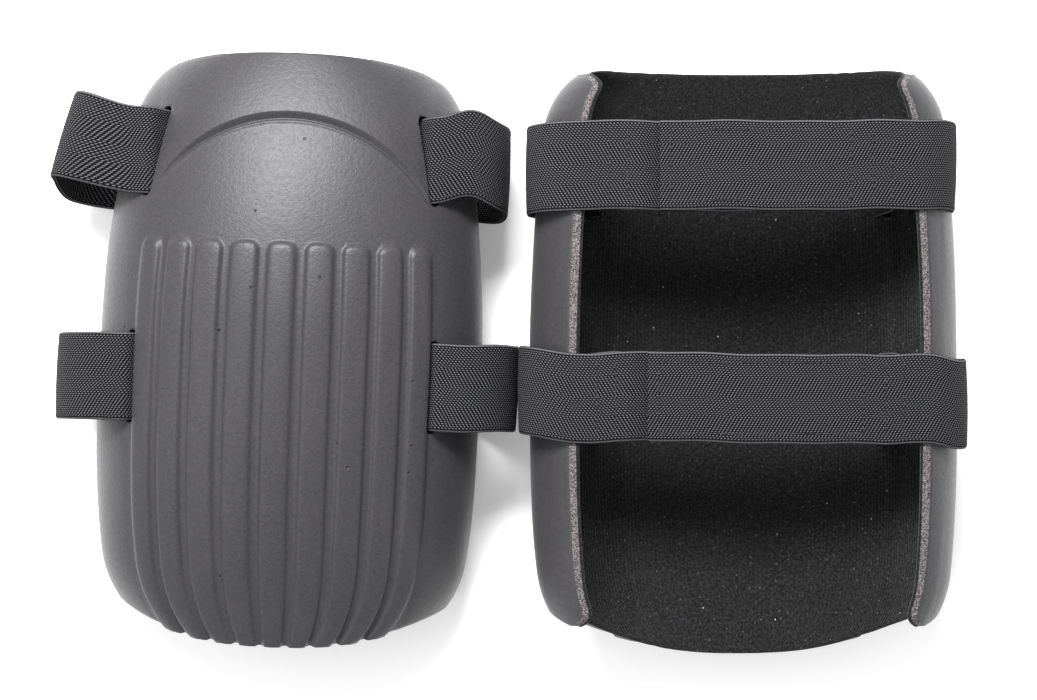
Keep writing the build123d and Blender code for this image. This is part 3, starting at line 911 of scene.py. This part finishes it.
def makeElasticMaterial():
    # woven elastic: covered rubber threads side by side, each showing as a row of slanted light dashes
    # that step from row to row, so they read as a twill that turns back every few rows; drawn at full size
    material, tree, shader = startMaterial("wovenElastic", {
        "Roughness": 0.85, "IOR": 1.5, "Specular IOR Level": 0.06, "Sheen Weight": 0.01, "Sheen Roughness": 0.4})
    place = millimetres(tree, "UV")
    u = addNode(tree, "SeparateXYZ", {0: place}, "X")
    v = addNode(tree, "SeparateXYZ", {0: place}, "Y")
    wobble = addNode(tree, "TexNoise", {"Vector": place, "Scale": 1 / 6.0, "Detail": 2.0, "Roughness": 0.5})
    sway = addNode(tree, "Math", {"operation": "SUBTRACT", 0: wobble, 1: 0.5})
    swayed = addNode(tree, "Math", {"operation": "MULTIPLY_ADD", 0: sway, 1: 0.5, 2: v})
    rowPlace = addNode(tree, "Math", {"operation": "DIVIDE", 0: swayed, 1: weave["rowPitch"]})
    row = addNode(tree, "Math", {"operation": "FLOOR", 0: rowPlace})
    rowPart = addNode(tree, "Math", {"operation": "FRACT", 0: rowPlace})
    inRow = addNode(tree, "Math", {"operation": "SUBTRACT", 0: rowPart, 1: 0.5})
    chevron = addNode(tree, "Math", {"operation": "PINGPONG", 0: row, 1: weave["chevronRows"]})
    phase = addNode(tree, "Math", {"operation": "MULTIPLY", 0: chevron, 1: weave["stepPerRow"]})
    dash = addNode(tree, "Math", {"operation": "MULTIPLY_ADD", 0: u, 1: 1 / weave["dashPitch"], 2: phase})
    slant = addNode(tree, "Math", {"operation": "MULTIPLY_ADD", 0: inRow, 1: weave["dashSlant"], 2: dash})
    dashPart = addNode(tree, "Math", {"operation": "FRACT", 0: slant})
    inDash = addNode(tree, "Math", {"operation": "SUBTRACT", 0: dashPart, 1: 0.5})
    # the sum of squares of the ways from a dash's middle, as shares of its length and width
    away = []
    for part, size in ((inDash, weave["dashLength"]), (inRow, weave["dashWidth"])):
        share = addNode(tree, "Math", {"operation": "DIVIDE", 0: part, 1: size})
        away.append(addNode(tree, "Math", {"operation": "POWER", 0: share, 1: 2.0}))
    apart = addNode(tree, "Math", {"operation": "ADD", 0: away[0], 1: away[1]})
    thread = addNode(tree, "MapRange", {0: apart, 1: 0.25, 2: 1.0, 3: 1.0, 4: 0.0})
    fuzz = addNode(tree, "TexNoise", {"Vector": place, "Scale": 1 / 0.5, "Detail": 2.0, "Roughness": 0.7})
    yarn = addNode(tree, "Mix", {"data_type": "RGBA", 0: fuzz, 6: linear(weave["shade"]),
                                 7: linear(weave["light"])}, 2)
    base = addNode(tree, "Mix", {"data_type": "RGBA", 0: thread, 6: linear(weave["ground"]), 7: yarn}, 2)
    fromMiddle = addNode(tree, "Math", {"operation": "ABSOLUTE", 0: v})
    fromEdge = addNode(tree, "Math", {"operation": "SUBTRACT", 0: strap["width"] / 2, 1: fromMiddle})
    selvedge = addNode(tree, "MapRange", {0: fromEdge, 1: 1.0, 2: 1.24, 3: 1.0, 4: 0.0})
    offCord = addNode(tree, "Math", {"operation": "SUBTRACT", 0: fromEdge, 1: 0.45})
    offCord = addNode(tree, "Math", {"operation": "ABSOLUTE", 0: offCord})
    edgeCord = addNode(tree, "MapRange", {0: offCord, 1: 0.15, 2: 0.4, 3: 0.8, 4: 0.0})
    for share, colour in ((selvedge, "selvedge"), (edgeCord, "edgeCord")):
        base = addNode(tree, "Mix", {"data_type": "RGBA", 0: share, 6: base, 7: linear(weave[colour])}, 2)
    tree.links.new(base, shader.inputs["Base Color"])
    height = addNode(tree, "Math", {"operation": "MULTIPLY_ADD", 0: fuzz, 1: 0.3, 2: thread})
    ribbed = addNode(tree, "Bump", {"Height": height, "Distance": 0.3 * mm, "Strength": 0.9})
    tree.links.new(ribbed, shader.inputs["Normal"])
    return material


def makeFibreMaterial(name, settings, blotch, detail, roughness, colours, depth, strength):
    # fibres too fine to draw one by one: a noise as wide as a few of them sets both tone and height
    material, tree, shader = startMaterial(name, settings)
    fibre = addNode(tree, "TexNoise", {"Vector": millimetres(tree), "Scale": 1 / blotch, "Detail": detail,
                                       "Roughness": roughness})
    base = addNode(tree, "Mix", {"data_type": "RGBA", 0: fibre, 6: linear(colours[0]), 7: linear(colours[1])}, 2)
    tree.links.new(base, shader.inputs["Base Color"])
    raised = addNode(tree, "Bump", {"Height": fibre, "Distance": depth * mm, "Strength": strength})
    tree.links.new(raised, shader.inputs["Normal"])
    return material


# nylon hook tape: stiff, slightly shiny monofilament on a woven ground
hookMaterial = makeFibreMaterial("nylonHookTape", {"Roughness": 0.45, "IOR": 1.53},
                                 0.8, 2.0, 0.5, ("#0f0f10", "#2a2a2c"), 0.2, 0.6)
# nylon loop tape: a tangled pile that looks soft and dull
loopMaterial = makeFibreMaterial("nylonLoopTape", {"Roughness": 0.95, "Specular IOR Level": 0.2,
                                                   "Sheen Weight": 0.4, "Sheen Roughness": 0.4},
                                 0.9, 4.0, 0.7, ("#0d0d0e", "#3a3a3d"), 0.8, 1.0)
# bonded polyester sewing thread: twisted plies with a slight gloss
threadMaterial = makeFibreMaterial("polyesterThread", {"Roughness": 0.5, "IOR": 1.55, "Specular IOR Level": 0.25},
                                   0.4, 1.0, 0.5, ("#0b0b0c", "#2c2c2f"), 0.1, 0.6)
foamMaterial = makeFoamMaterial()
cutFoamMaterial = makeCutFoamMaterial()
liningMaterial = makeLiningMaterial()
elasticMaterial = makeElasticMaterial()
print("materials")


# stage, light and camera, in metres and watts
stage = {
    "floor": 3.0, "floorGlow": 0.16, "sky": 0.85,
    "topLight": {"place": (-0.20, 0.70, 0.92), "aim": (0, 0.06, 0.03), "size": (0.6, 0.36), "power": 33},
    "fill": {"place": (-0.9, -0.1, 1.1), "aim": (0, 0, 0), "size": (1.2, 1.2), "power": 5},
    "cameraHeight": 0.83, "lens": 67.4, "besideMiddle": 0.0018,
}


def areaLight(name):
    values = stage[name]
    data = bpy.data.lights.new(name, "AREA")
    data.shape = "RECTANGLE"
    data.size, data.size_y = values["size"]
    data.energy = values["power"]
    light = bpy.data.objects.new(name, data)
    light.location = values["place"]
    towards = Vector(values["aim"]) - Vector(values["place"])
    light.rotation_euler = towards.to_track_quat("-Z", "Y").to_euler()
    bpy.context.scene.collection.objects.link(light)


def makeStage():
    half = stage["floor"] / 2
    corners = [(-half, -half, 0), (half, -half, 0), (half, half, 0), (-half, half, 0)]
    floor = buildMesh("floor", corners, [(0, 1, 2, 3)])
    # matt white paper with a little light of its own, so the shadows stay pale
    floor.data.materials.append(startMaterial("paleFloor", {
        "Roughness": 0.9, "Specular IOR Level": 0.1, "Base Color": linear("#ffffff"),
        "Emission Color": linear("#ffffff"), "Emission Strength": stage["floorGlow"]})[0])
    world = bpy.data.worlds.new("studio")
    world.use_nodes = True
    background = world.node_tree.nodes["Background"]
    background.inputs["Color"].default_value = linear("#ffffff")
    background.inputs["Strength"].default_value = stage["sky"]
    bpy.context.scene.world = world
    areaLight("topLight")
    areaLight("fill")
    data = bpy.data.cameras.new("camera")
    data.lens = stage["lens"]
    data.sensor_width = 36.0
    data.clip_start = 0.01
    camera = bpy.data.objects.new("camera", data)
    middles = [places[side]["middle"] for side in ("left", "right")]
    camera.location = ((middles[0][0] + middles[1][0]) / 2 + stage["besideMiddle"], middles[0][1],
                       stage["cameraHeight"])
    bpy.context.scene.collection.objects.link(camera)
    bpy.context.scene.camera = camera
    bpy.context.scene.view_settings.view_transform = "Standard"
    print("stage")


makeStage()
for side in ("left", "right"):
    makeShell(side)
    makeLining(side)
    for level in strap["levelY"]:
        makeHookElastic(side, level)
        makeLoopElastic(side, level)
        makeHookTape(side, level)
        makeLoopTape(side, level)
        makeStrapStitches(side, level)
    print(side, "straps")
